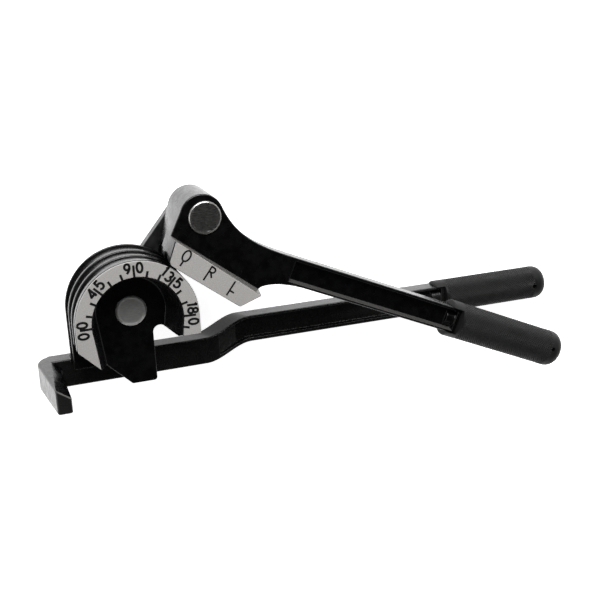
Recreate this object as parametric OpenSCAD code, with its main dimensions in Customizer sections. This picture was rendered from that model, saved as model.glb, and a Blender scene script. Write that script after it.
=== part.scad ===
// Hand tube bender for three tube sizes: a fixed handle that carries a grooved
// half-round die, and a forming lever that swings round the die on a link.
// The tool lies on its back: X runs along the fixed handle towards the grips,
// Z is the bending axis and points out of the degree scale.

/* [Bending die] */
// Radius of the die's rims
rim_r = 29.5; // [27:0.5:33]
// Outside diameter of the smallest tube, in the front groove
tube_small = 6.35; // [5:0.05:7]
// Outside diameter of the middle tube
tube_middle = 7.94; // [7:0.02:9]
// Outside diameter of the largest tube, in the rear groove
tube_large = 9.53; // [8.5:0.01:10.5]
// Play of a tube in its groove, on the diameter
tube_play = 0.25; // [0.1:0.05:0.5]
// Thickness of the flange that carries the degree scale
front_flange = 4.4; // [3:0.1:6]
// Thickness of the two walls between the grooves
groove_wall = 2.3; // [1.5:0.1:3]
// Thickness of the flange behind the rear groove
rear_flange = 1.4; // [1:0.1:3]
// Width of the degree scale, from the rim to the recess
scale_w = 7.9; // [7:0.1:10]
// Depth of the recess in front of the hub
recess_depth = 19.6; // [14:0.2:21]
// Draft of the recess wall in degrees
recess_draft = 13; // [5:1:18]
// Length of the straight rim past the 180 degree mark
right_drop = 10.3; // [8:0.1:12]
// Distance of the slanted lower left cut past the zero mark
left_drop = 10.5; // [8:0.5:13]
// Lean of the two straight legs' inner walls in degrees
wall_lean = 6.5; // [0:0.5:9]
// Distance from the bending axis to the top of the window beside the pedestal
window_top = 9.4; // [8:0.1:10]
// Radius of the window's upper corner
window_round = 3.4; // [2:0.1:6]

/* [Fixed handle] */
// Distance from the bending axis to the handle's upper edge at the die
handle_drop = 25.5; // [24:0.5:30]
// Height of the handle's bar
frame_bar_h = 14; // [12:0.5:16]
// How far the handle steps up past the die
step_rise = 8.3; // [5:0.1:9]
// Where the step begins, measured from the bending axis
step_start = 37; // [35:0.5:42]
// Length of the step
step_len = 24; // [20:1:30]
// How far the step's front edges follow its middle
step_skew = 2.5; // [0:0.5:4]
// How far the step's upper edge leads at the back of the handle
step_lead = 5.8; // [2:0.1:7]
// Where the grip begins, measured from the bending axis
frame_grip_start = 169.5; // [150:0.5:190]
// Width of the pedestal's right half under the die
leg_half = 9.9; // [7:0.1:11]
// How far the pedestal ends above the handle's lower edge
leg_lift = 2; // [1:0.5:3]

/* [Hook] */
// Gap between the largest tube and the hook
hook_gap = 0.6; // [0.3:0.1:2]
// Width of the hook's root, across the handle's end
hook_root_w = 10.8; // [9:0.1:14]
// Width of the hook's nose
hook_nose_w = 7; // [5:0.1:8]
// Width of the bevel along the hook's inner edge, at the handle
hook_bevel_w = 4.4; // [3:0.1:6]
// Radius of the hook's outer corner at the back
hook_round = 8.5; // [4:0.5:9.5]
// How far the hook's nose passes the degree scale
hook_past = 4; // [0:0.5:6]
// Height of the bevel along the hook's inner edge
hook_bevel = 5; // [3:0.1:6]
// Draft of the hook's underside, as a height lost at the nose
hook_taper = 1.4; // [0:0.1:4]

/* [Forming lever] */
// Distance from the lever's pin to the shoe's forming face
shoe_drop = 27.2; // [26:0.1:32]
// Gap between the shoe and the rims in the rest position
shoe_gap = 0.7; // [0.5:0.1:1.2]
// Lean of the lever past square to its link in the rest position, in degrees
lever_lean = 2.3; // [0:0.1:4]
// Length of the shoe's forming face past the lever's pin
shoe_len = 36.5; // [34:0.5:46]
// Height of the shoe behind its forming face, at the lever's face
shoe_h = 11.4; // [10.5:0.1:13]
// How far the shoe stands in front of the lever's face
shoe_rise = 8; // [5:0.5:8.5]
// Draft of the shoe's walls in front of the lever's face, as a width lost at the scale
shoe_draft = 0.9; // [0.3:0.1:1.2]
// Slant of the toe, as a length added along its upper edge
shoe_toe_slant = 6.4; // [3:0.1:8]
// Length of the heel before the lever's pin
shoe_heel_l = 9.2; // [7.5:0.1:10]
// Width the heel loses towards the back of the lever's head
heel_draft = 2.3; // [1:0.1:3]
// Radius of the boss round the lever's pin
boss_r = 10.75; // [10:0.05:12]
// How far the boss stands off its pin, away from the grip
boss_shift = 1.4; // [0:0.1:2]
// Angle between the forming face and the lever's bar
lever_bend = 13.8; // [10:0.2:16]
// Distance from the lever's pin down to the middle of its bar
lever_offset = 12.2; // [11:0.05:14]
// Height of the lever's bar
lever_bar_h = 13.4; // [11:0.1:15]
// Thickness of the lever's bar
lever_bar_t = 10.5; // [9.5:0.1:12]
// Where the lever's grip begins, measured along the bar from its pin
lever_grip_start = 145; // [130:1:165]

/* [Bars] */
// Depth of the channel in each side of both bars
channel_depth = 3.3; // [2:0.1:3.4]
// Thickness of the flanges above and below the channels
bar_flange = 2; // [1.5:0.1:3]

/* [Link and pins] */
// Half the width of the link, which is also the radius of its ends
link_r = 8.5; // [8:0.1:9.5]
// Thickness of the link
link_t = 5.5; // [4:0.1:7]
// Angle of the link above the fixed handle in the rest position
link_angle = 49.7; // [45:0.1:60]
// Radius of the pins' bodies
pin_r = 6.5; // [5.5:0.1:6.8]
// Radius of the front head of the die's pin
pin_head_r = 7.6; // [7.2:0.1:8.5]
// Radius of the front head of the lever's pin
lever_head_r = 8.1; // [7.2:0.1:8.6]
// Height of the pins' front heads
pin_head_t = 0.9; // [0.8:0.1:2.5]
// Radius of the riveted necks in the link
neck_r = 4.5; // [3.5:0.1:5]
// Radius of the riveted rear heads
rivet_r = 6.6; // [5.8:0.1:7.2]
// Height of the riveted rear heads
rivet_t = 2.2; // [1.5:0.1:3]
// Thickness of the washers under the rivets
rivet_washer_t = 1.2; // [0.8:0.1:2]
// Thickness of the washers between the link and the castings
thrust_washer_t = 1; // [0.6:0.1:1.5]

/* [Grips] */
// Outer radius of the fixed handle's grip
frame_grip_r = 9.05; // [8.8:0.05:11]
// Length of the fixed handle's grip
frame_grip_l = 67.5; // [60:0.5:90]
// Outer radius of the lever's grip
lever_grip_r = 9.75; // [8.8:0.05:11]
// Length of the lever's grip
lever_grip_l = 72.5; // [60:0.5:90]
// Depth of the slot in a grip's mouth that takes the end of the bar
mouth_slot = 5; // [3:0.5:8]
// Radius of the round tang inside each grip
tang_r = 4.4; // [3.6:0.1:4.6]
// Length of solid grip past the tang's end
grip_solid = 15; // [8:1:25]
// Radius of the vent in the grip's wall
vent_r = 1.2; // [0.6:0.1:1.5]

/* [Fits] */
// Radial running clearance of the pins
run_fit = 0.05; // [0.03:0.01:0.1]
// Radial clearance of parts that are fixed together
seat_fit = 0.03; // [0.02:0.01:0.06]
// Axial gap between faces that turn on each other
face_gap = 0.1; // [0.05:0.05:0.2]
// Thickness of the two scale plates
plate_t = 0.8; // [0.5:0.1:1.2]
// Margin of a scale plate inside the face that carries it
plate_edge = 0.25; // [0.1:0.05:0.5]

/* [Hidden] */
$fn = 96;
far = 400;

// Levels along the bending axis, from the back
link_z = rivet_t + rivet_washer_t;
link_top = link_z + link_t;
die_z = link_top + thrust_washer_t + face_gap;
groove_r = [for (d = [tube_large, tube_middle, tube_small]) (d + tube_play) / 2];
groove_z = [die_z + rear_flange + groove_r[0],
            die_z + rear_flange + 2 * groove_r[0] + groove_wall + groove_r[1],
            die_z + rear_flange + 2 * (groove_r[0] + groove_r[1] + groove_wall) + groove_r[2]];
die_top = groove_z[2] + groove_r[2] + front_flange;
plate_z = die_top - plate_t;
floor_z = die_top - recess_depth;
sweep_gap = 0.3;
frame_bar_t = die_z - sweep_gap;
head_face = die_top - shoe_rise;
lever_bar_z = head_face - lever_bar_t;

// Places in the plane of the tool
scale_r = rim_r - scale_w;
floor_r = scale_r - recess_depth * tan(recess_draft);
link_len = (rim_r + shoe_gap + shoe_drop) / cos(lever_lean);
lever_pin_at = link_len * [cos(link_angle), sin(link_angle)];
shoe_turn = link_angle + lever_lean - 90;
left_cut = rim_r + left_drop;
leg_bottom = handle_drop + frame_bar_h - leg_lift;
hook_face = rim_r + tube_large / 2 + hook_gap;
hook_top = die_top + hook_past;
frame_axis_y = step_rise - handle_drop - frame_bar_h / 2;
frame_axis_z = frame_bar_t / 2;
lever_axis_z = lever_bar_z + lever_bar_t / 2;
tang_lead = 7;
window_slope = 0.84;
web_low = right_drop + recess_depth / 3;
web_end = leg_half + window_round + (web_low - window_top) / window_slope;
grip_round = 6;
mouth_bevel = 0.8;

// Points of an arc, a Bezier curve and a turned list of points
function arc(c, r, a0, a1, n = 24) = [for (i = [0 : n]) c + r * [cos(a0 + (a1 - a0) * i / n), sin(a0 + (a1 - a0) * i / n)]];
function bezier(p, n = 16) = [for (i = [0 : n]) let (t = i / n, u = 1 - t)
    u * u * u * p[0] + 3 * u * u * t * p[1] + 3 * u * t * t * p[2] + t * t * t * p[3]];
function turned(pts, a) = [for (p = pts) [p.x * cos(a) - p.y * sin(a), p.x * sin(a) + p.y * cos(a)]];
function reversed(pts) = [for (i = [len(pts) - 1 : -1 : 0]) pts[i]];

// Rise of the handle's step at a distance from the bending axis
function step_at(x) = let (t = min(1, max(0, (x - step_start) / step_len))) step_rise * t * t * (3 - 2 * t);
step_points = 14;
function bar_stations(x0, x1) = concat(
    x0 < step_start ? [x0] : [],
    [for (i = [0 : step_points]) let (x = step_start + step_len * i / step_points) if (x > x0 + step_skew) x],
    [x1]);
function bar_edge(x0, x1, y, skew) = [for (x = bar_stations(x0, x1))
    [x == x0 || x == x1 ? x : x + skew, step_at(x) + y]];
function bar_band(x0, x1, low, high) = concat(
    bar_edge(x0, x1, low - handle_drop - frame_bar_h, step_skew),
    reversed(bar_edge(x0, x1, -handle_drop - high, step_skew)));

module slab(z0, z1) {
    translate([0, 0, z0]) linear_extrude(z1 - z0) children();
}

// A round body along the bar from one station to another
module rod(r, x0, x1) {
    translate([x0, 0, 0]) rotate([0, 90, 0]) cylinder(r = r, h = x1 - x0);
}

// Half of the plane above or below the bending axis
module upper_half() {
    translate([-far, 0]) square([2 * far, far]);
}

module lower_half() {
    translate([-far, -far]) square([2 * far, far]);
}

// Front face of the die: half round above, two straight legs below
module front_outline(r, right) {
    difference() {
        union() {
            difference() {
                circle(r = r);
                lower_half();
            }
            translate([-r, -far / 4]) square([r, far / 4]);
            translate([0, -right]) square([r, right]);
        }
        lower_left();
    }
}

// The drafted recess in front of the hub, open at the bottom
module recess() {
    translate([0, 0, floor_z]) cylinder(r1 = floor_r, r2 = scale_r, h = recess_depth);
    intersection() {
        translate([-far / 2, -far, floor_z]) cube([far, far, recess_depth + 1]);
        translate([-scale_r, 0, die_top]) rotate(wall_lean) rotate([0, -recess_draft, 0])
            translate([0, -far, -far / 2]) cube([far, 2 * far, far]);
        translate([scale_r, 0, die_top]) rotate(-wall_lean) rotate([0, recess_draft, 0])
            translate([-far, -far, -far / 2]) cube([far, 2 * far, far]);
    }
}

// Everything to the lower left of the slanted cut
module lower_left() {
    rotate(-45) translate([-far, -far - left_cut / sqrt(2)]) square([2 * far, far]);
}

// Half round part of the die with the three grooves turned into it
module die_round() {
    difference() {
        slab(die_z, plate_z) difference() {
            circle(r = rim_r);
            lower_half();
        }
        recess();
        for (i = [0 : 2]) translate([0, 0, groove_z[i]]) rotate_extrude() translate([rim_r, 0]) circle(r = groove_r[i]);
    }
}

// Outline of the web below the bending axis, with the window beside the pedestal
module web_outline() {
    polygon(concat(
        [[rim_r, 0], [-rim_r, 0], [-rim_r, -handle_drop], [leg_half, -handle_drop]],
        reversed(arc([leg_half + window_round, -window_top - window_round], window_round, 90 - atan(window_slope), 180, 12)),
        [[web_end, -web_low], [rim_r, -web_low]]));
}

// Straight part below it: walls and web behind the recess floor, two legs in front of it,
// and a foot that joins the left wall to the handle
foot = 0.8;
rear_wall_z = groove_z[0] + groove_r[0] + groove_wall;
module die_straight() {
    difference() {
        union() {
            slab(die_z, floor_z) difference() {
                web_outline();
                lower_left();
            }
            slab(die_z, rear_wall_z) web_outline();
            slab(frame_bar_t / 2, rear_wall_z) translate([-rim_r, -handle_drop - foot]) square([rim_r + leg_half, 2 * foot]);
            slab(floor_z, plate_z) difference() {
                front_outline(rim_r, right_drop);
                upper_half();
            }
        }
        recess();
        for (i = [0 : 2], side = [-1, 1]) translate([side * rim_r, 1, groove_z[i]]) rotate([90, 0, 0])
            cylinder(r = groove_r[i], h = handle_drop + frame_bar_h);
    }
}

// Pedestal that carries the die in front of the handle
leg_round = 1.6;
module pedestal() {
    slab(frame_bar_t / 2, floor_z) polygon([
        [leg_bottom - left_cut, -leg_bottom], each arc([leg_half - leg_round, leg_round - leg_bottom], leg_round, 270, 360, 8),
        [leg_half, 1 - handle_drop], [handle_drop - 1 - left_cut, 1 - handle_drop]]);
}

// The step's upper face, which leans along the handle from its front edge to its back edge
module step_ramp() {
    lean = atan(step_lead / frame_bar_t);
    x0 = step_start - 2;
    x1 = step_start + step_len + 8;
    intersection() {
        translate([0, -far / 2, 0]) cube([far, far, frame_bar_t]);
        translate([0, 0, frame_bar_t]) rotate([0, lean, 0]) linear_extrude(far / 2, center = true) polygon([
            for (p = concat(bar_edge(x0, x1, -handle_drop, step_skew),
                [[x1, step_rise - handle_drop - frame_bar_h / 3], [x0, -handle_drop - frame_bar_h / 3]])) [p.x * cos(lean), p.y]]);
    }
}

// Front channel of the bar, whose floor runs in from the handle's face
channel_start = 3;
channel_run = 16;
channel_lip = 0.4 * channel_depth;
module front_channel(bar_end) {
    difference() {
        slab(frame_bar_t - channel_depth, frame_bar_t + 1)
            polygon(bar_band(step_start + channel_start, bar_end - bar_flange, bar_flange, flange_top));
        translate([step_start + channel_start, 0, frame_bar_t - channel_lip]) rotate([0, atan((channel_depth - channel_lip) / channel_run), 0])
            translate([-far / 2, -far / 2, -far]) cube([far, far, far]);
    }
}

// Bar of the fixed handle with its step, channels and tang
flange_top = 0.65 * bar_flange;
module frame_bar() {
    bar_end = frame_grip_start + mouth_slot;
    difference() {
        union() {
            slab(0, frame_bar_t) polygon(bar_band(-hook_face - 1, bar_end, 0, 0));
            step_ramp();
        }
        front_channel(bar_end);
        slab(-1, channel_depth) polygon(bar_band(step_start + 2 * channel_start, bar_end - bar_flange, bar_flange, bar_flange));
    }
    translate([0, frame_axis_y, frame_axis_z]) rod(tang_r, bar_end - tang_lead, frame_grip_start + frame_grip_l - grip_solid);
}

// Hook that holds the tube's end: a tapered arm that stands out of the handle's end
module hook() {
    root = hook_face + hook_root_w;
    nose = hook_face + hook_nose_w;
    low = -handle_drop - frame_bar_h;
    intersection() {
        hull() {
            slab(0, frame_bar_t) polygon([[-root, low], [-hook_face, low],
                [-hook_face, -handle_drop - hook_bevel], [-hook_face - hook_bevel_w, -handle_drop], [-root, -handle_drop]]);
            slab(hook_top - 0.1, hook_top) polygon([[-nose, low + hook_taper], [-hook_face, low + hook_taper],
                [-hook_face, -handle_drop - hook_bevel], [-nose, -handle_drop]]);
        }
        translate([0, far / 2, 0]) rotate([90, 0, 0]) linear_extrude(far) polygon(concat(
            arc([hook_round - root, hook_round], hook_round, 180, 270, 12),
            [[0, 0], [0, hook_top], [-root, hook_top]]));
    }
}

// The handle's square end between the bar and the hook's bevelled arm
module hook_heel() {
    slab(0, frame_bar_t) translate([-hook_face - hook_bevel_w, -handle_drop - hook_bevel])
        square([hook_bevel_w, hook_bevel]);
}

module frame_casting() {
    color("#2b2c2e") difference() {
        union() {
            die_round();
            die_straight();
            pedestal();
            frame_bar();
            hook();
            hook_heel();
        }
        translate([0, 0, -1]) cylinder(r = pin_r + run_fit, h = die_top);
    }
}

module degree_scale() {
    color("#d9dadb") slab(plate_z, die_top) difference() {
        front_outline(rim_r - plate_edge, right_drop - plate_edge);
        circle(r = scale_r + plate_edge);
        intersection() {
            translate([-scale_r - plate_edge, 0]) rotate(wall_lean) translate([0, -far]) square([far, far]);
            translate([scale_r + plate_edge, 0]) rotate(-wall_lean) translate([-far, -far]) square([far, far]);
        }
    }
}

// A grip along X from its open mouth, with a slot for the bar and a blind bore for the tang
frame_vent_at = grip_round + vent_r + 1.4;
lever_vent_at = grip_round + vent_r + 0.4;
lever_vent_turn = 8;
module grip(mouth, r, l, bar_h, vent_at, vent_turn) {
    bore = l - grip_solid + face_gap;
    difference() {
        translate([mouth, 0, 0]) rotate([0, 90, 0]) rotate_extrude() polygon(concat(
            [[tang_r + seat_fit, 0], [r - mouth_bevel, 0], [r, mouth_bevel]],
            arc([r - grip_round, l - grip_round], grip_round, 0, 90, 16),
            [[0, l], [0, bore], [tang_r + seat_fit, bore]]));
        translate([mouth - 1, -bar_h / 2 - seat_fit, -2 * r]) cube([mouth_slot + seat_fit + 1, bar_h + 2 * seat_fit, 4 * r]);
        translate([mouth + l - vent_at, 0, 0]) rotate([-vent_turn, 0, 0]) cylinder(r = vent_r, h = r + 1);
    }
}

module frame_grip() {
    color("#1f2022") translate([0, frame_axis_y, frame_axis_z]) grip(frame_grip_start, frame_grip_r, frame_grip_l, frame_bar_h, frame_vent_at, 0);
}

module link_plate() {
    color("#3a3b3d") rotate(link_angle) slab(link_z, link_top) difference() {
        union() {
            for (x = [0, link_len]) translate([x, 0]) circle(r = link_r);
            translate([0, -link_r]) square([link_len, 2 * link_r]);
        }
        for (x = [0, link_len]) translate([x, 0]) circle(r = neck_r + seat_fit);
    }
}

// A pin from its rivet at the back to its head in front of a face
pin_bevel = 0.7;
module pin(face, head_r) {
    head_z = face + face_gap;
    color("#b9bbbd") rotate_extrude() polygon([
        [0, 0], [rivet_r - pin_bevel, 0], [rivet_r, pin_bevel], [rivet_r, rivet_t], [neck_r, rivet_t],
        [neck_r, link_top], [pin_r, link_top], [pin_r, head_z], [head_r, head_z],
        [head_r, head_z + pin_head_t - pin_bevel], [head_r - pin_bevel, head_z + pin_head_t],
        [0, head_z + pin_head_t]]);
}

module at_lever_pin() {
    translate([lever_pin_at.x, lever_pin_at.y, 0]) children();
}

module die_pin() {
    pin(floor_z, pin_head_r);
}

module lever_pin() {
    at_lever_pin() pin(head_face, lever_head_r);
}

module washer(inner, outer, z0, t) {
    color("#8d9093") slab(z0, z0 + t) difference() {
        circle(r = outer);
        circle(r = inner);
    }
}

module thrust_washer() {
    washer(pin_r + run_fit, link_r, link_top, thrust_washer_t);
}

module rivet_washer() {
    washer(neck_r + seat_fit, link_r - 0.5, rivet_t, rivet_washer_t);
}

// The lever is drawn with its pin at the origin and its forming face along X
module in_lever() {
    at_lever_pin() rotate(shoe_turn) children();
}

// A point given along the lever's bar and across it, in the lever's own frame
function on_bar(t, p) = [t * cos(lever_bend) - p * sin(lever_bend), t * sin(lever_bend) + p * cos(lever_bend)];
function along_bar(pts) = [for (p = pts) on_bar(p.x, p.y)];
bar_top = lever_bar_h / 2 - lever_offset;
bar_low = -lever_bar_h / 2 - lever_offset;

// Corners of the shoe at the lever's face and at its scale, from the heel to the toe
shoe_top = shoe_h - shoe_drop;
heel_slope = 0.28;
heel_low = shoe_h - 8;
function heel_curve(lost) = let (x = lost - shoe_heel_l, y = -shoe_drop + heel_low)
    concat([[x, shoe_top - lost / 2]], bezier([[x + heel_slope * (shoe_top - y), y],
        [x + heel_slope * (shoe_top - y) + 0.3 * heel_low, y - 0.75 * heel_low],
        [-0.25 * shoe_heel_l - 0.3 * heel_low, -shoe_drop], [-0.25 * shoe_heel_l, -shoe_drop]], 10));
toe = [shoe_len + shoe_toe_slant, shoe_top];
function shoe_outline(lost) = concat(heel_curve(lost), [[shoe_len, -shoe_drop], [toe.x, toe.y - 1.6 * lost]]);
boss_at = [-boss_shift, 0];
boss_from = 45;
boss_to = 186;
neck_pull = 18;
neck_end = 52.7;
throat_end = 61.8;
throat_pull = [1.5, 2.9];
lever_bar_end = lever_grip_start + mouth_slot;

// Upper edge from the bar to the boss, and lower edge from the shoe's toe to the bar
function neck_curve() = let (a = boss_from, s = boss_at + boss_r * [cos(a), sin(a)]) along_bar(bezier([
    [neck_end, bar_top], [neck_end - 20, bar_top], s + neck_pull * [sin(a), -cos(a)], s]));
function in_bar(p) = [p.x * cos(lever_bend) + p.y * sin(lever_bend), p.y * cos(lever_bend) - p.x * sin(lever_bend)];
function throat_curve() = along_bar(bezier([in_bar(toe), in_bar(toe) + throat_pull,
    [throat_end - 13.8, bar_low], [throat_end, bar_low]]));

function boss_arc() = arc(boss_at, boss_r, boss_from, boss_to, 30);
module lever_outline() {
    polygon(concat(
        turned(boss_arc(), lever_bend),
        heel_curve(0),
        [[shoe_len, -shoe_drop]],
        throat_curve(),
        along_bar([[lever_bar_end, bar_low], [lever_bar_end, bar_top]]),
        neck_curve()));
}

// Deep part of the head behind the shoe's forming face
module head() {
    slab(die_z, head_face) polygon(concat(
        turned(concat(arc(boss_at, boss_r, -30, boss_from - 5, 14), boss_arc()), lever_bend), shoe_outline(0)));
}

// What the heel's draft takes off, from nothing at the lever's face and at the boss
module heel_cut() {
    depth = head_face - die_z;
    end = turned([boss_at + boss_r * [cos(boss_to), sin(boss_to)]], lever_bend)[0];
    n = cross([end.x + shoe_heel_l, end.y - shoe_top, -depth], [heel_draft, 0, -depth]);
    translate([-shoe_heel_l, shoe_top, head_face]) rotate([0, 0, atan2(n.y, n.x)]) rotate([0, -asin(n.z / norm(n)), 0])
        translate([0, -far / 2, -far / 2]) cube([far, far, far]);
}

// The shoe in front of the lever's face, up to the level of the degree scale
module shoe_block() {
    hull() {
        slab(head_face - 0.1, head_face) polygon(shoe_outline(0));
        slab(plate_z - 0.1, plate_z) polygon(shoe_outline(shoe_draft));
    }
}

// Channels in the lever's bar: the front one's lower wall has draft
lever_channel_start = 51.4;
lever_channel_l = lever_bar_end - bar_flange - lever_channel_start;
lip_low = 0.6 * bar_flange;
lip_top = 0.75 * bar_flange;
lip_draft = 0.3;
module lever_channels() {
    rotate(lever_bend) translate([lever_channel_start, 0, 0]) rotate([90, 0, 90]) linear_extrude(lever_channel_l) {
        polygon([[bar_low + lip_low - lip_draft, head_face + 1], [bar_low + lip_low + lip_draft * channel_depth, head_face - channel_depth],
            [bar_top - lip_top, head_face - channel_depth], [bar_top - lip_top, head_face + 1]]);
        translate([bar_low + bar_flange, lever_bar_z - 1]) square([lever_bar_h - 2 * bar_flange, channel_depth + 1]);
    }
}

module lever_casting() {
    color("#2b2c2e") in_lever() difference() {
        union() {
            difference() {
                head();
                heel_cut();
            }
            shoe_block();
            difference() {
                slab(lever_bar_z, head_face) lever_outline();
                lever_channels();
            }
            rotate(lever_bend) translate([0, -lever_offset, lever_axis_z])
                rod(tang_r, lever_bar_end - tang_lead, lever_grip_start + lever_grip_l - grip_solid);
        }
        for (i = [0 : 2]) translate([0, -shoe_drop, groove_z[i]]) rod(groove_r[i], -far / 4, far / 4);
        cylinder(r = pin_r + run_fit, h = die_top);
    }
}

module index_scale() {
    color("#d9dadb") in_lever() slab(plate_z, die_top) difference() {
        polygon(shoe_outline(shoe_draft));
        translate([-far / 2, -shoe_drop - far]) square([far, far + plate_edge]);
    }
}

module lever_grip() {
    color("#1f2022") in_lever() rotate(lever_bend) translate([0, -lever_offset, lever_axis_z])
        grip(lever_grip_start, lever_grip_r, lever_grip_l, lever_bar_h, lever_vent_at, lever_vent_turn);
}

frame_casting();
degree_scale();
frame_grip();
link_plate();
die_pin();
lever_pin();
thrust_washer();  // die_thrust_washer
at_lever_pin() thrust_washer();  // lever_thrust_washer
rivet_washer();  // die_rivet_washer
at_lever_pin() rivet_washer();  // lever_rivet_washer
lever_casting();
index_scale();
lever_grip();
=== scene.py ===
from math import radians, degrees, sin, cos, pi, atan2, hypot
import bpy
import bmesh
from mathutils import Matrix, Vector
from mathutils.bvhtree import BVHTree


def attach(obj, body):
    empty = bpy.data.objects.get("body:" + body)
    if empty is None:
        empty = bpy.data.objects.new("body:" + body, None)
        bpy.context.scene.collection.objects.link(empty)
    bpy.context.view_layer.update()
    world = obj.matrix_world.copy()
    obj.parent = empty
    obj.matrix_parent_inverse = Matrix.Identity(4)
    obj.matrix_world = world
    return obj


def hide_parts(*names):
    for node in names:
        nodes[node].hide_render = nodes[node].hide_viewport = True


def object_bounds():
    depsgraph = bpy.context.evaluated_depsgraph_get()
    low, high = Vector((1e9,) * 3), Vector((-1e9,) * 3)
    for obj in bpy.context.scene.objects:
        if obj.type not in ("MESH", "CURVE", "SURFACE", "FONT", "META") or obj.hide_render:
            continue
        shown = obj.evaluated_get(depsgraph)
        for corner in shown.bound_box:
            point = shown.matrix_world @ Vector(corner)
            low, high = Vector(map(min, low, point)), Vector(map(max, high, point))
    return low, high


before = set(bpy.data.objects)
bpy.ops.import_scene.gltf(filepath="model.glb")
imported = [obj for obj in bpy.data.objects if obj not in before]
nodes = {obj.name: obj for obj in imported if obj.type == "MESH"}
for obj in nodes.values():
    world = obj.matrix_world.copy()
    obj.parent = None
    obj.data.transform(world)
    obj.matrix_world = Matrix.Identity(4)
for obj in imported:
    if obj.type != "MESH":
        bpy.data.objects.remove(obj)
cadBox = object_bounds()
mm = 0.001
print("frame loaded")

# camera at the photo's viewing angle, found from the rims of the die
cameraLook = {
    "yaw": 19.0,
    "pitch": 16.6,
    "roll": 2.95,
    "offset": (-75.11, -10.33, -510.58),  # mm from the camera to the dial's middle
    "focalPx": 1096.2,
    "photoPx": 600,
    "sensor": 36,
    "clip": (0.01, 20),
    "dialZ": 44.97,
}


def makeCamera(look):
    yaw = Matrix.Rotation(radians(look["yaw"]), 3, "Y")
    pitch = Matrix.Rotation(radians(look["pitch"]), 3, "X")
    roll = Matrix.Rotation(radians(look["roll"]), 3, "Z")
    toCamera = pitch @ yaw @ roll
    place = -(toCamera.transposed() @ Vector(look["offset"])) + Vector((0, 0, look["dialZ"]))
    data = bpy.data.cameras.new("photoCamera")
    data.sensor_width = look["sensor"]
    data.lens = look["focalPx"] / look["photoPx"] * look["sensor"]
    data.clip_start, data.clip_end = look["clip"]
    camera = bpy.data.objects.new("photoCamera", data)
    camera.matrix_world = Matrix.Translation(place * mm) @ toCamera.transposed().to_4x4()
    bpy.context.scene.collection.objects.link(camera)
    bpy.context.scene.camera = camera


makeCamera(cameraLook)
bpy.context.scene.view_settings.view_transform = "Standard"
print("camera set")


# finishes: every pattern is laid on Object coordinates, in metres
def newFinish(name):
    finish = bpy.data.materials.new(name)
    finish.use_nodes = True
    tree = finish.node_tree
    place = tree.nodes.new("ShaderNodeTexCoord")
    return finish, tree, tree.nodes["Principled BSDF"], place.outputs["Object"]


def addNoise(tree, place, scale, detail=3, stretch=(1, 1, 1), turn=0):
    mapping = tree.nodes.new("ShaderNodeMapping")
    mapping.inputs["Scale"].default_value = stretch
    mapping.inputs["Rotation"].default_value = (0, 0, turn)
    grain = tree.nodes.new("ShaderNodeTexNoise")
    grain.inputs["Scale"].default_value = scale
    grain.inputs["Detail"].default_value = detail
    tree.links.new(place, mapping.inputs["Vector"])
    tree.links.new(mapping.outputs["Vector"], grain.inputs["Vector"])
    return grain.outputs["Fac"]


def blendTones(tree, value, low, high, start=0.35, end=0.65):
    ramp = tree.nodes.new("ShaderNodeValToRGB")
    ramp.color_ramp.elements[0].position = start
    ramp.color_ramp.elements[1].position = end
    ramp.color_ramp.elements[0].color = (*low, 1)
    ramp.color_ramp.elements[1].color = (*high, 1)
    tree.links.new(value, ramp.inputs["Fac"])
    return ramp.outputs["Color"]


noiseSpan = (0.3, 0.7)  # where most of a noise's values lie


def spreadValue(tree, value, low, high):
    spread = tree.nodes.new("ShaderNodeMapRange")
    spread.inputs["From Min"].default_value = noiseSpan[0]
    spread.inputs["From Max"].default_value = noiseSpan[1]
    spread.inputs["To Min"].default_value = low
    spread.inputs["To Max"].default_value = high
    tree.links.new(value, spread.inputs["Value"])
    return spread.outputs["Result"]


def addBump(tree, shader, heights):
    normal = None
    for value, depth in heights:  # depth of each pattern in mm
        bump = tree.nodes.new("ShaderNodeBump")
        bump.inputs["Strength"].default_value = 1
        bump.inputs["Distance"].default_value = depth * mm
        tree.links.new(value, bump.inputs["Height"])
        if normal:
            tree.links.new(normal, bump.inputs["Normal"])
        normal = bump.outputs["Normal"]
    tree.links.new(normal, shader.inputs["Normal"])


# each noise has its scale, detail and depth in mm
paintGrain = {"cast": (260, 4, 0.012), "peel": (1500, 2, 0.006)}
# the bare tone is milled metal, and also painted light on faces where light falls
paintLook = {"dark": (0.0006, 0.0006, 0.0007), "light": (0.0016, 0.0016, 0.0017),
             "bareAndPaintedLight": (0.11, 0.107, 0.103), "gloss": (0.22, 0.32), "shine": 0.4}
linkLook = {"dark": (0.006, 0.006, 0.0065), "light": (0.012, 0.012, 0.0125),
            "bareAndPaintedLight": (0.1, 0.1, 0.1), "gloss": (0.32, 0.48), "shine": 0.5}


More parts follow.
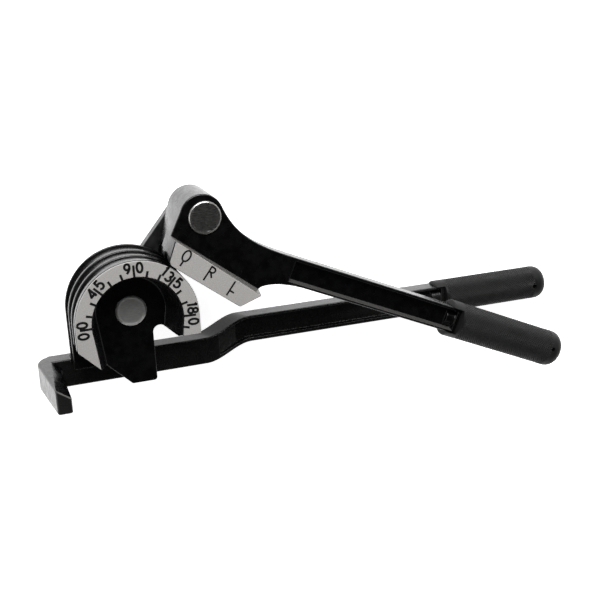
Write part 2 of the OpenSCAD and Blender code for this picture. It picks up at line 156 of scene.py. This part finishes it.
def makePaint(name, look):
    finish, tree, shader, place = newFinish(name)
    castScale, castDetail, castDepth = paintGrain["cast"]
    peelScale, peelDetail, peelDepth = paintGrain["peel"]
    cast = addNoise(tree, place, castScale, castDetail)
    peel = addNoise(tree, place, peelScale, peelDetail)
    paint = blendTones(tree, cast, look["dark"], look["light"])
    bareAndPaintedLight = tree.nodes.new("ShaderNodeAttribute")  # where the paint is milled off, and where a lighter tone is painted light on lit faces
    bareAndPaintedLight.attribute_name = "bareAndPaintedLight"
    mix = tree.nodes.new("ShaderNodeMix")
    mix.data_type = "RGBA"
    mix.inputs["B"].default_value = (*look["bareAndPaintedLight"], 1)
    tree.links.new(bareAndPaintedLight.outputs["Fac"], mix.inputs["Factor"])
    tree.links.new(paint, mix.inputs["A"])
    tree.links.new(mix.outputs["Result"], shader.inputs["Base Color"])
    tree.links.new(spreadValue(tree, cast, *look["gloss"]), shader.inputs["Roughness"])
    shader.inputs["Specular IOR Level"].default_value = look["shine"]
    addBump(tree, shader, [(cast, castDepth), (peel, peelDepth)])
    return finish


plateLook = {"dark": (0.31, 0.3, 0.29), "light": (0.495, 0.48, 0.465), "rough": (0.42, 0.62), "metal": 0.25,
             "speckle": (2600, 3, 0.02), "drawn": (500, 3, 0.01), "stretch": (1, 9, 1), "lay": 20}


def makePlate(name, look):
    finish, tree, shader, place = newFinish(name)
    speckScale, speckDetail, speckDepth = look["speckle"]
    drawnScale, drawnDetail, drawnDepth = look["drawn"]
    speckle = addNoise(tree, place, speckScale, speckDetail)
    drawn = addNoise(tree, place, drawnScale, drawnDetail, look["stretch"], radians(look["lay"]))
    shader.inputs["Metallic"].default_value = look["metal"]
    tone = blendTones(tree, speckle, look["dark"], look["light"], *noiseSpan)
    tree.links.new(tone, shader.inputs["Base Color"])
    tree.links.new(spreadValue(tree, drawn, *look["rough"]), shader.inputs["Roughness"])
    addBump(tree, shader, [(speckle, speckDepth), (drawn, drawnDepth)])
    return finish


gripGrain = {"cloud": (90, 4), "pore": (3000, 2, 0.02)}
gripLook = {"dark": (0.003, 0.003, 0.003), "light": (0.007, 0.007, 0.007),
            "rough": (0.42, 0.6), "shine": 0.22}
inkLook = {"dark": (0.002, 0.002, 0.002), "light": (0.005, 0.005, 0.005),
           "rough": (0.5, 0.7), "shine": 0.15}


def makeGripFinish(name, look):
    finish, tree, shader, place = newFinish(name)
    poreScale, poreDetail, poreDepth = gripGrain["pore"]
    cloud = addNoise(tree, place, *gripGrain["cloud"])
    pore = addNoise(tree, place, poreScale, poreDetail)
    tree.links.new(blendTones(tree, cloud, look["dark"], look["light"]), shader.inputs["Base Color"])
    tree.links.new(spreadValue(tree, cloud, *look["rough"]), shader.inputs["Roughness"])
    shader.inputs["Specular IOR Level"].default_value = look["shine"]
    addBump(tree, shader, [(pore, poreDepth)])
    return finish


steelGrain = {"streak": (420, 4, 0.012), "fleck": (1800, 2, 0.008), "stretch": (1, 8, 1)}
# painted light: the die pin's steel is painted lighter and the lever pin's darker, a lit and a shaded copy
# of one steel
diePinLook = {"dark": (0.5, 0.5, 0.49), "light": (0.66, 0.66, 0.65), "rough": (0.42, 0.56), "lay": 35}
leverPinLook = {"dark": (0.3, 0.295, 0.285), "light": (0.42, 0.415, 0.405),
                "rough": (0.24, 0.36), "lay": 55}
washerLook = {"dark": (0.38, 0.38, 0.37), "light": (0.6, 0.6, 0.58), "rough": (0.25, 0.45), "lay": 70}


def makeSteel(name, look):
    finish, tree, shader, place = newFinish(name)
    streakScale, streakDetail, streakDepth = steelGrain["streak"]
    fleckScale, fleckDetail, fleckDepth = steelGrain["fleck"]
    streak = addNoise(tree, place, streakScale, streakDetail, steelGrain["stretch"], radians(look["lay"]))
    fleck = addNoise(tree, place, fleckScale, fleckDetail)
    shader.inputs["Metallic"].default_value = 1
    tree.links.new(blendTones(tree, streak, look["dark"], look["light"]), shader.inputs["Base Color"])
    tree.links.new(spreadValue(tree, streak, *look["rough"]), shader.inputs["Roughness"])
    addBump(tree, shader, [(streak, streakDepth), (fleck, fleckDepth)])
    return finish


castingBlack = makePaint("castingBlack", paintLook)
linkBlack = makePaint("linkBlack", linkLook)
scaleSilver = makePlate("scaleSilver", plateLook)
gripBlack = makeGripFinish("gripBlack", gripLook)
markInk = makeGripFinish("markInk", inkLook)
diePinSteel = makeSteel("diePinSteel", diePinLook)
leverPinSteel = makeSteel("leverPinSteel", leverPinLook)
washerSteel = makeSteel("washerSteel", washerLook)
print("finishes made")


def addPiece(bm, name, body, finish, replaced=None, smoothAngle=40):
    data = bpy.data.meshes.new(name)
    bm.to_mesh(data)
    bm.free()
    piece = bpy.data.objects.new(name, data)
    bpy.context.scene.collection.objects.link(piece)
    data.materials.append(finish)
    data.shade_smooth()
    data.set_sharp_from_angle(angle=radians(smoothAngle))
    level = piece.modifiers.new("level", "WEIGHTED_NORMAL")  # flat faces stay flat beside a rounding
    level.keep_sharp = True
    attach(piece, body)
    if replaced:
        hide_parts(replaced)
    return piece


def asObject(bm, name):
    data = bpy.data.meshes.new(name)
    bm.to_mesh(data)
    bm.free()
    thing = bpy.data.objects.new(name, data)
    bpy.context.scene.collection.objects.link(thing)
    return thing


def shaped(thing):
    bpy.context.view_layer.update()
    data = bpy.data.meshes.new_from_object(thing.evaluated_get(bpy.context.evaluated_depsgraph_get()))
    bpy.data.objects.remove(thing)
    bm = bmesh.new()
    bm.from_mesh(data)
    return bm


# the lever's own frame: its pin, and the turn of the shoe and of the bar
leverPlace = {"pin": (37.156, 43.812), "shoeTurn": -38.0, "barTurn": -24.2, "barDrop": 12.2}

cornerGap = 0.44  # a round corner of three faces lies this share of its radius inside the sharp one
# lengths in mm, and the angle in degrees under which faces count as one flat face
meshClean = {"weld": 0.002, "sliver": 0.08, "thin": 0.01, "last": 0.001, "flat": 0.6}


# a CAD piece with its sharp edges rounded by a radius in mm that depends on the place
def softened(nodeName, radiusAt, widest, segments=4, sharpAngle=28, widestAt=None):
    bm = bmesh.new()
    bm.from_mesh(nodes[nodeName].data)
    bmesh.ops.remove_doubles(bm, verts=bm.verts, dist=meshClean["weld"] * mm)
    skin = BVHTree.FromBMesh(bm)
    bmesh.ops.remove_doubles(bm, verts=bm.verts, dist=meshClean["sliver"] * mm)
    bmesh.ops.dissolve_degenerate(bm, edges=bm.edges, dist=meshClean["thin"] * mm)
    bmesh.ops.dissolve_limit(bm, angle_limit=radians(meshClean["flat"]), verts=bm.verts, edges=bm.edges)
    share = bm.edges.layers.float.new("bevel_weight_edge")
    for e in bm.edges:
        if len(e.link_faces) == 2 and e.calc_face_angle(0) > radians(sharpAngle):
            e[share] = radiusAt((e.verts[0].co + e.verts[1].co) / (2 * mm)) / widest
    thing = asObject(bm, nodeName + "Soft")
    rounding = thing.modifiers.new("rounding", "BEVEL")
    rounding.limit_method = "WEIGHT"
    rounding.width = widest * mm
    rounding.segments = segments
    rounding.use_clamp_overlap = False
    bm = shaped(thing)
    for v in bm.verts:  # a corner too tight for its rounding goes back to the CAD surface
        near, _, _, gap = skin.find_nearest(v.co)
        local = widestAt(v.co / mm) if widestAt else widest
        if gap > cornerGap * local * mm:
            v.co = near
    bmesh.ops.remove_doubles(bm, verts=bm.verts, dist=meshClean["last"] * mm)
    bmesh.ops.triangulate(bm, faces=[f for f in bm.faces if len(f.verts) > 4])
    return bm


# edge radii in mm
castingEdge = {"post": 1.6, "hook": 1.0, "bevel": 0.6, "bar": 0.7, "foot": 0.35, "rim": 0.6, "thin": 0.45,
               "channel": 0.3, "seat": 0.12, "link": 0.4, "plate": 0.12, "pin": 0.4}
plateSegments = 2

# where each radius is used, in mm: heel x, x, z; post z, z, x, y; heelTop x, y, z, z; wallFoot y, y, z;
# pedestal x, y, z; step start, length, rise; lip below, above
frameZones = {"seatZ": 43.5, "hookX": -34.8, "heel": (-40.0, -36.5, 0.6),
              "post": (20.0, 40.0, -43.0, -38.0), "heelTop": (-40.5, -26.0, 1.0, 9.0),
              "rim": 28.8, "thinZ": 11.6, "barZ": 9.9,
              "wallFoot": (-26.8, -23.0, 24.0), "pedestal": (10.5, -9.0, 24.5), "step": (39.5, 24.0, 8.3),
              "barTop": -25.5, "barLow": -39.5, "lip": (0.8, 0.6)}
leverZones = {"forming": -24.5, "channel": (50.5, 152.0), "barTop": -5.5, "barLow": -18.9, "lip": 0.7}


def frameRadius(p):
    zones = frameZones
    if p.x < zones["hookX"]:
        low, high, level = zones["heel"]
        if low < p.x < high and p.z < level:
            return 0
        foot, top, left, lower = zones["post"]
        if foot < p.z < top:
            if p.x < left:
                return castingEdge["post"]
            return castingEdge["hook"] if p.y < lower else castingEdge["bevel"]
        right, edge, low, high = zones["heelTop"]
        if p.x < right and p.y > edge and p.z < foot:  # the rounding narrows along the heel
            narrow = min(1, max(0, (high - p.z) / (high - low)))
            return castingEdge["post"] - narrow * (castingEdge["post"] - castingEdge["hook"])
        return castingEdge["hook"]
    if p.z > zones["seatZ"]:
        return castingEdge["seat"]
    if p.z < zones["barZ"]:
        start, length, rise = zones["step"]
        t = min(1, max(0, (p.x - start) / length))
        lift = rise * t * t * (3 - 2 * t)
        lower, upper = zones["lip"]
        inside = p.x > start and zones["barLow"] + lift + lower < p.y < zones["barTop"] + lift - upper
        return castingEdge["channel"] if inside else castingEdge["bar"]
    if hypot(p.x, max(p.y, 0)) > zones["rim"]:
        return castingEdge["thin"] if p.z < zones["thinZ"] else castingEdge["rim"]
    low, high, level = zones["wallFoot"]
    if p.x < 0 and low < p.y < high and p.z < level:
        return castingEdge["seat"]
    right, top, level = zones["pedestal"]
    if p.x < right and p.y < top and p.z > level:
        return castingEdge["foot"]
    return castingEdge["thin"]


def frameWidest(p):
    return castingEdge["post"] if p.x < frameZones["hookX"] else castingEdge["bar"]


def leverRadius(p):
    zones = leverZones
    if p.z > frameZones["seatZ"]:
        return castingEdge["seat"]
    fromPin = Vector((p.x - leverPlace["pin"][0], p.y - leverPlace["pin"][1]))
    shoe = Matrix.Rotation(radians(-leverPlace["shoeTurn"]), 2) @ fromPin
    bar = Matrix.Rotation(radians(-leverPlace["barTurn"]), 2) @ fromPin
    start, end = zones["channel"]
    if shoe.y < zones["forming"] and bar.x < start:
        return castingEdge["channel"]
    between = zones["barLow"] + zones["lip"] < bar.y < zones["barTop"] - zones["lip"]
    return castingEdge["channel"] if start < bar.x < end and between else castingEdge["bar"]


def linkRadius(p):
    return castingEdge["link"]


def plateRadius(p):
    return castingEdge["plate"]


def pinRadius(p):
    return castingEdge["pin"]


# a pin's head with a shallow turned ring round its face
pinRing = {"width": 0.4, "drop": 0.16, "facing": 0.99, "depth": 0.01, "smooth": 15}


def turnedPin(nodeName):
    bm = softened(nodeName, pinRadius, castingEdge["pin"])
    bmesh.ops.dissolve_limit(bm, angle_limit=radians(meshClean["flat"]), verts=bm.verts, edges=bm.edges)
    top = max(v.co.z for v in bm.verts) - pinRing["depth"] * mm
    ends = [f for f in bm.faces if f.normal.z > pinRing["facing"] and f.calc_center_median().z > top]
    face = max(ends, key=lambda f: f.calc_area())
    outer = face.verts[:]
    bmesh.ops.inset_region(bm, faces=[face], thickness=pinRing["width"] * mm, use_even_offset=True)
    bmesh.ops.translate(bm, verts=outer, vec=(0, 0, -pinRing["drop"] * mm))
    bmesh.ops.triangulate(bm, faces=[f for f in bm.faces if len(f.verts) > 4])
    return bm


# painted light on the frame: the bar's front, the start of its channel and the hook's end are painted
# lighter where light falls on them, and the hook's rounded edge gets a painted highlight
# bar least x, most z, least facing; ramp x, x, least lean; hookEdge least z, least slant
framePaintedLight = {"bar": (-34.0, 10.6, 0.75), "barShare": 0.065, "ramp": (41.0, 64.0, 0.05), "rampShare": 0.24,
             "hookEdge": (47.0, 0.3), "edgeShare": 0.7, "endShare": 0.085}


def markFrame(bm, look):
    bareAndPaintedLight = bm.faces.layers.float.new("bareAndPaintedLight")
    start, top, flat = look["bar"]
    low, high, tilt = look["ramp"]
    level, slant = look["hookEdge"]
    for f in bm.faces:
        p = f.calc_center_median() / mm
        # painted highlight on the hook's rounded edge, painted light on the hook's end
        if p.x < frameZones["hookX"] and p.z > level:
            if min(f.normal) > slant:
                f[bareAndPaintedLight] = look["edgeShare"]
            elif f.normal.z > flat:
                f[bareAndPaintedLight] = look["endShare"]
        # painted light on the bar's lit front and on the sloped start of its channel
        if p.x > start and p.z < top and f.normal.z > flat:
            ramp = low < p.x < high and f.normal.x > tilt
            f[bareAndPaintedLight] = look["rampShare"] if ramp else look["barShare"]


# faces of the lever: the milled wall behind the index plate is bare metal, and the channel's lower wall,
# which faces the light, gets a painted highlight
# wall y, y, least z in the shoe's frame; channel y, y, z, z in the bar's frame
leverBareAndPaintedLight = {"wall": (-17.6, -15.6, 37.1), "wallShare": 1.0, "channel": (-18.5, -16.6, 33.5, 36.9),
             "channelShare": 0.5, "facing": 0.55}


def markLever(bm, look):
    bareAndPaintedLight = bm.faces.layers.float.new("bareAndPaintedLight")
    toShoe = Matrix.Rotation(radians(-leverPlace["shoeTurn"]), 3, "Z")
    toBar = Matrix.Rotation(radians(-leverPlace["barTurn"]), 3, "Z")
    pin = Vector((*leverPlace["pin"], 0))
    for f in bm.faces:
        fromPin = f.calc_center_median() / mm - pin
        shoe, bar = toShoe @ fromPin, toBar @ fromPin
        low, high, foot = look["wall"]
        if low < shoe.y < high and shoe.z > foot and (toShoe @ f.normal).y > look["facing"]:
            f[bareAndPaintedLight] = look["wallShare"]
        # painted highlight on the channel's lower wall, which faces the light
        low, high, foot, top = look["channel"]
        inChannel = bar.x > leverZones["channel"][0] and low < bar.y < high and foot < bar.z < top
        if inChannel and (toBar @ f.normal).y > look["facing"]:
            f[bareAndPaintedLight] = look["channelShare"]


# the index plate stops a little short of the shoe's left edge, which stays black
indexTrim = {"corner": (-8.3, -16.25), "foot": (-6.06, -23.8), "short": 0.5}


def indexPlate():
    bm = softened("index_scale", plateRadius, castingEdge["plate"], plateSegments)
    place = Matrix.Translation(Vector((*leverPlace["pin"], 0)) * mm)
    place = place @ Matrix.Rotation(radians(leverPlace["shoeTurn"]), 4, "Z")
    corner, foot = Vector((*indexTrim["corner"], 0)), Vector((*indexTrim["foot"], 0))
    inward = (foot - corner).normalized().cross(Vector((0, 0, -1)))
    through = place @ ((corner + inward * indexTrim["short"]) * mm)
    cut = bmesh.ops.bisect_plane(bm, geom=bm.verts[:] + bm.edges[:] + bm.faces[:], clear_inner=True,
                                 plane_co=through, plane_no=place.to_3x3() @ inward)
    bmesh.ops.holes_fill(bm, edges=[e for e in cut["geom_cut"] if isinstance(e, bmesh.types.BMEdge)])
    bmesh.ops.recalc_face_normals(bm, faces=bm.faces)
    return bm


frameBody = softened("frame_casting", frameRadius, castingEdge["post"], widestAt=frameWidest)
leverBody = softened("lever_casting", leverRadius, castingEdge["bar"])
linkBody = softened("link_plate", linkRadius, castingEdge["link"])
dialBody = softened("degree_scale", plateRadius, castingEdge["plate"], plateSegments)
# painted light: lit faces of the frame painted lighter, with a painted highlight on the hook's edge
markFrame(frameBody, framePaintedLight)
# bare milled metal behind the index plate, and a painted highlight in the lever's channel
markLever(leverBody, leverBareAndPaintedLight)
addPiece(frameBody, "frameCasting", "frame", castingBlack, "frame_casting")
addPiece(leverBody, "leverCasting", "lever", castingBlack, "lever_casting")
addPiece(linkBody, "linkPlate", "link", linkBlack, "link_plate")
addPiece(dialBody, "degreeScale", "frame", scaleSilver, "degree_scale")
addPiece(indexPlate(), "indexScale", "lever", scaleSilver, "index_scale")
print("castings, link and scales rounded")

# grips: a turned body with a diamond knurl, a slot for the bar and a vent
gripBodies = [
    {"name": "frameGrip", "node": "frame_grip", "body": "frame", "radius": 9.05, "length": 67.5,
     "barHeight": 14.0, "ventAt": 8.6, "ventTurn": 0, "at": (169.5, -24.2, 4.85)},
    {"name": "leverGrip", "node": "lever_grip", "body": "lever", "radius": 9.75, "length": 72.5,
     "barHeight": 13.4, "ventAt": 7.6, "ventTurn": 8, "at": None,
     "along": 145.0, "axisZ": 31.72, "turn": -24.2},
]
gripForm = {"steps": 84, "bore": 4.43, "solid": 14.9, "mouthBevel": 0.8, "mouthRound": (0.25, 0.3),
            "endRound": 6.0, "arcSteps": 10, "slot": 5.03, "play": 0.03,
            "knurlStart": 6.0, "knurlEnd": 8.0, "knurlDepth": 0.3, "skin": 0.8,
            "ventRadius": 1.2, "ventSides": 24, "ventMiddle": 0.9, "smooth": 25}


def gripPlace(look):
    if look["at"]:
        return Matrix.Translation(Vector(look["at"]) * mm)
    turn = Matrix.Rotation(radians(look["turn"]), 4, "Z")
    start = turn @ Vector((look["along"], -leverPlace["barDrop"], 0))
    at = Vector((*leverPlace["pin"], look["axisZ"])) + start
    return Matrix.Translation(at * mm) @ turn


def turnProfile(bm, points, steps):
    chain = [bm.verts.new((x * mm, 0, r * mm)) for x, r in points]
    edges = [bm.edges.new(pair) for pair in zip(chain, chain[1:])]
    bmesh.ops.spin(bm, geom=chain + edges, cent=(0, 0, 0), axis=(1, 0, 0), dvec=(0, 0, 0), angle=2 * pi,
                   steps=steps, use_merge=True, use_duplicate=False)
    bmesh.ops.remove_doubles(bm, verts=bm.verts, dist=meshClean["last"] * mm)
    bmesh.ops.recalc_face_normals(bm, faces=bm.faces)


def cutAway(bm, cutters):
    body = asObject(bm, "body")
    tools = [asObject(tool, "cutter") for tool in cutters]
    for tool in tools:
        cut = body.modifiers.new("cut", "BOOLEAN")
        cut.operation = "DIFFERENCE"
        cut.solver = "EXACT"
        cut.object = tool
    bm = shaped(body)
    for tool in tools:
        bpy.data.objects.remove(tool)
    return bm


def makeGrip(look, form):
    r, length = look["radius"], look["length"]
    cell = 2 * pi * r / form["steps"]
    knurlX = [form["knurlStart"]]
    while knurlX[-1] + cell < length - form["knurlEnd"]:
        knurlX.append(knurlX[-1] + cell)
    middle = length - form["endRound"]
    end = [(middle + form["endRound"] * sin(radians(a)), r - form["endRound"] * (1 - cos(radians(a))))
           for a in [90 * i / form["arcSteps"] for i in range(form["arcSteps"] + 1)]]
    bore, bevel = form["bore"], form["mouthBevel"]
    along, across = form["mouthRound"]
    points = [(length - form["solid"], 0), (length - form["solid"], bore), (0, bore), (0, r - bevel),
              (along * bevel, r - across * bevel), (bevel, r)]
    points += [(x, r) for x in knurlX] + end + [(length, 0)]
    bm = bmesh.new()
    turnProfile(bm, points, form["steps"])
    low, high = knurlX[1] - cell / 2, knurlX[-2] + cell / 2
    for v in bm.verts:
        reach = hypot(v.co.y, v.co.z)
        if low < v.co.x / mm < high and reach > form["skin"] * r * mm:
            row = round((v.co.x / mm - knurlX[0]) / cell)
            column = round(atan2(v.co.z, v.co.y) / (2 * pi / form["steps"]))
            if (row + column) % 2:
                sink = 1 - form["knurlDepth"] * mm / reach
                v.co.y *= sink
                v.co.z *= sink
    knurled = [f for f in bm.faces if low - cell < f.calc_center_median().x / mm < high + cell
               and hypot(*f.calc_center_median().yz) > form["skin"] * r * mm]
    bmesh.ops.triangulate(bm, faces=knurled, quad_method="SHORT_EDGE")
    slot, vent = bmesh.new(), bmesh.new()
    barHalf = look["barHeight"] / 2 + form["play"]
    slotSize = Matrix.Diagonal((form["slot"] * mm, barHalf * mm, 2 * r * mm, 1))
    bmesh.ops.create_cube(slot, size=2, matrix=slotSize)
    ventTurn = Matrix.Rotation(radians(-look["ventTurn"]), 4, "X")
    ventMiddle = Matrix.Translation(((length - look["ventAt"]) * mm, 0, form["ventMiddle"] * r * mm))
    ventRadius = form["ventRadius"] * mm
    bmesh.ops.create_cone(vent, cap_ends=True, segments=form["ventSides"], radius1=ventRadius,
                          radius2=ventRadius, depth=r * mm, matrix=ventTurn @ ventMiddle)
    bm = cutAway(bm, [slot, vent])
    bmesh.ops.transform(bm, matrix=gripPlace(look), verts=bm.verts)
    addPiece(bm, look["name"], look["body"], gripBlack, look["node"], form["smooth"])


for look in gripBodies:
    makeGrip(look, gripForm)
print("grips turned and knurled")

smooth = pinRing["smooth"]
addPiece(turnedPin("die_pin"), "diePin", "link", diePinSteel, "die_pin", smooth)
addPiece(turnedPin("lever_pin"), "leverPin", "link", leverPinSteel, "lever_pin", smooth)
for name in ("die_thrust_washer", "lever_thrust_washer", "die_rivet_washer", "lever_rivet_washer"):
    nodes[name].data.materials.clear()
    nodes[name].data.materials.append(washerSteel)
print("pins and washers finished")


# marks: flat strokes of ink, drawn as curves and made a mesh
def arcPath(x, y, rx, ry, a0, a1, n=16):
    angles = [radians(a0 + (a1 - a0) * i / n) for i in range(n + 1)]
    return [(x + rx * cos(a), y + ry * sin(a)) for a in angles]


digitMiddle = (0.3, 0.5)
digitPaths = {  # in a box 0.6 wide and 1 high
    "0": [arcPath(0.3, 0.5, 0.27, 0.5, 90, 450, 28)],
    "1": [[(0.14, 0.84), (0.32, 1.0), (0.32, 0.0)]],
    "3": [arcPath(0.28, 0.76, 0.24, 0.24, 155, -90), arcPath(0.28, 0.26, 0.28, 0.26, 90, -155)],
    "4": [[(0.46, 0.0), (0.46, 1.0), (0.0, 0.28), (0.62, 0.28)]],
    "5": [[(0.52, 1.0), (0.13, 1.0), (0.07, 0.53)] + arcPath(0.27, 0.32, 0.29, 0.32, 120, -150)],
    "8": [arcPath(0.3, 0.76, 0.21, 0.24, -90, 270, 24), arcPath(0.3, 0.26, 0.27, 0.26, 90, 450, 24)],
    "9": [arcPath(0.3, 0.7, 0.25, 0.3, 0, 360, 24), [(0.55, 0.72), (0.53, 0.5), (0.42, 0.22), (0.24, 0.0)]],
}


# a sharp corner would pinch the stroke, so the path is cut there and both ends run a little past it
def cutCorners(path, past, sharpest=40):
    strokes, start = [], 0
    points = [Vector(p) for p in path]
    for i in range(1, len(points) - 1):
        if degrees((points[i] - points[i - 1]).angle(points[i + 1] - points[i], 0)) > sharpest:
            strokes.append(points[start:i + 1])
            start = i
    strokes.append(points[start:])
    for before, after in zip(strokes, strokes[1:]):
        corner = before[-1].copy()
        before[-1] = corner + (corner - before[-2]).normalized() * past
        after[0] = corner + (corner - after[1]).normalized() * past
    return strokes


strokeForm = {"past": 0.35, "smooth": 1}


def drawStrokes(bm, paths, width, proud, place):
    curve = bpy.data.curves.new("strokes", "CURVE")
    curve.dimensions = "3D"
    curve.bevel_depth = width / 2 * mm
    curve.bevel_resolution = 1
    curve.use_fill_caps = True
    for path in [stroke for whole in paths for stroke in cutCorners(whole, strokeForm["past"] * width)]:
        spline = curve.splines.new("POLY")
        spline.points.add(len(path) - 1)
        for point, (x, y) in zip(spline.points, path):
            point.co = (x * mm, y * mm, 0, 1)
    ink = bpy.data.objects.new("strokes", curve)
    bpy.context.scene.collection.objects.link(ink)
    bpy.context.view_layer.update()
    data = bpy.data.meshes.new_from_object(ink.evaluated_get(bpy.context.evaluated_depsgraph_get()))
    data.transform(place @ Matrix.Diagonal((1, 1, 2 * proud / width, 1)))
    bm.from_mesh(data)
    bpy.data.objects.remove(ink)


def scaled(paths, wide, high, place):
    (left, low), (x0, y0) = place, digitMiddle
    return [[(left + (x - x0) * wide, low + (y - y0) * high) for x, y in path] for path in paths]


dialMarks = {"face": 44.97, "inner": 21.6, "minor": 24.7, "tickWidth": 1.15, "proud": 0.03,
             "digitWidth": 1.16, "digitHeight": 4.6, "digitWide": 1.04,
             "minorTicks": (165, 150, 120, 105, 75, 60, 30, 15, -15),
             "numbers": (  # angle, line's outer end, then each digit with its place beside it and radius
                 (180, 27.4, (("0", -3.1, 25.9), ("0", 2.3, 26.05))),
                 (135, 27.1, (("4", -2.4, 26.0), ("5", 3.0, 26.0))),
                 (90, 27.5, (("9", -3.0, 26.05), ("0", 2.8, 26.05))),
                 (45, 27.1, (("1", -5.6, 26.1), ("3", -2.4, 25.5), ("5", 2.9, 25.6))),
                 (-1, 27.4, (("1", -5.2, 25.6), ("8", -2.3, 26.1), ("0", 3.2, 26.1))))}


def makeDialMarks(look):
    bm = bmesh.new()
    up = Matrix.Translation((0, 0, look["face"] * mm))

    def outward(angle):
        return up @ Matrix.Rotation(radians(angle - 90), 4, "Z")

    for angle in look["minorTicks"]:
        tick = [[(0, look["inner"]), (0, look["minor"])]]
        drawStrokes(bm, tick, look["tickWidth"], look["proud"], outward(angle))
    for angle, end, digits in look["numbers"]:
        tick = [[(0, look["inner"]), (0, end)]]
        drawStrokes(bm, tick, look["tickWidth"], look["proud"], outward(angle))
        high = look["digitHeight"]
        for digit, beside, radius in digits:
            paths = scaled(digitPaths[digit], high * look["digitWide"], high, (beside, radius))
            drawStrokes(bm, paths, look["digitWidth"], look["proud"], outward(angle))
    addPiece(bm, "dialMarks", "frame", markInk, None, strokeForm["smooth"])


# O middle and radii; R line, top, end, height; RForm bowl and leg by height; L line, top, end, foot, length
indexMarks = {"face": 44.97, "width": 0.9, "proud": 0.03,
              "O": (0.05, -19.4, 1.75, 2.75), "OLine": ((0.0, -22.4), (-0.12, -25.0)),
              "R": (13.4, -17.5, -25.1, 4.8), "RForm": (0.27, 0.22, 0.57),
              "L": (27.3, -17.7, -25.7, -22.9, 2.6)}


def makeIndexMarks(look):
    bm = bmesh.new()
    place = Matrix.Translation((leverPlace["pin"][0] * mm, leverPlace["pin"][1] * mm, look["face"] * mm))
    place = place @ Matrix.Rotation(radians(leverPlace["shoeTurn"]), 4, "Z")
    ox, oy, orx, ory = look["O"]
    rx, rTop, rEnd, rHeight = look["R"]
    lx, lTop, lEnd, lFoot, lLength = look["L"]
    bowl, legTop, legFoot = [share * rHeight for share in look["RForm"]]
    rBowl = arcPath(rx + bowl, rTop - bowl, bowl, bowl, 90, -90)
    paths = [
        arcPath(ox, oy, orx, ory, 90, 450, 28),
        list(look["OLine"]),
        [(rx, rEnd), (rx, rTop)] + rBowl + [(rx, rTop - 2 * bowl)],
        [(rx + legTop, rTop - 2 * bowl), (rx + legFoot, rTop - rHeight)],
        [(lx, lEnd), (lx, lTop)],
        [(lx, lFoot), (lx + lLength, lFoot)],
    ]
    drawStrokes(bm, paths, look["width"], look["proud"], place)
    addPiece(bm, "indexMarks", "lever", markInk, None, strokeForm["smooth"])


makeDialMarks(dialMarks)
makeIndexMarks(indexMarks)
print("scales marked")

# pale floor and soft light
studio = {"floorHalf": 30, "floorGlow": 0.9, "floorTone": 0.9, "floorDip": 0.99, "floorCloud": (3, 2),
          "floorRough": 0.8, "floorShine": 0.1, "horizon": 0.9, "zenith": 0.02, "fade": (0.25, 0.7)}


def makeFloor(look):
    bm = bmesh.new()
    bmesh.ops.create_grid(bm, x_segments=1, y_segments=1, size=look["floorHalf"])
    bmesh.ops.translate(bm, verts=bm.verts, vec=(0, 0, cadBox[0].z))
    data = bpy.data.meshes.new("floor")
    bm.to_mesh(data)
    bm.free()
    floor = bpy.data.objects.new("floor", data)
    bpy.context.scene.collection.objects.link(floor)
    finish, tree, shader, place = newFinish("floorWhite")
    tone = look["floorTone"]
    cloud = addNoise(tree, place, *look["floorCloud"])
    shade = blendTones(tree, cloud, (tone * look["floorDip"],) * 3, (tone,) * 3)
    tree.links.new(shade, shader.inputs["Base Color"])
    shader.inputs["Roughness"].default_value = look["floorRough"]
    shader.inputs["Specular IOR Level"].default_value = look["floorShine"]
    shader.inputs["Emission Color"].default_value = (1, 1, 1, 1)
    shader.inputs["Emission Strength"].default_value = look["floorGlow"]
    data.materials.append(finish)


def makeWorld(look):
    world = bpy.data.worlds.new("studio")
    world.use_nodes = True
    tree = world.node_tree
    place = tree.nodes.new("ShaderNodeTexCoord")
    split = tree.nodes.new("ShaderNodeSeparateXYZ")
    ramp = tree.nodes.new("ShaderNodeValToRGB")  # bright round the horizon, dark above the front faces
    ramp.color_ramp.elements[0].position = look["fade"][0]
    ramp.color_ramp.elements[1].position = look["fade"][1]
    ramp.color_ramp.elements[0].color = (look["horizon"],) * 3 + (1,)
    ramp.color_ramp.elements[1].color = (look["zenith"],) * 3 + (1,)
    tree.links.new(place.outputs["Generated"], split.inputs["Vector"])
    tree.links.new(split.outputs["Z"], ramp.inputs["Fac"])
    tree.links.new(ramp.outputs["Color"], tree.nodes["Background"].inputs["Color"])
    bpy.context.scene.world = world


softLights = [
    {"name": "upperLight", "at": (0.05, 0.75, 0.60), "size": (0.9, 0.5), "watts": 14},
    {"name": "leftLight", "at": (-0.75, -0.05, 0.45), "size": (0.5, 0.5), "watts": 1.2},
]


def makeLights(lights):
    middle = (cadBox[0] + cadBox[1]) / 2
    for look in lights:
        data = bpy.data.lights.new(look["name"], "AREA")
        data.shape = "RECTANGLE"
        data.size, data.size_y = look["size"]
        data.energy = look["watts"]
        light = bpy.data.objects.new(look["name"], data)
        light.location = look["at"]
        light.rotation_euler = (middle - light.location).to_track_quat("-Z", "Y").to_euler()
        bpy.context.scene.collection.objects.link(light)


makeFloor(studio)
makeWorld(studio)
makeLights(softLights)
print("floor and light set")
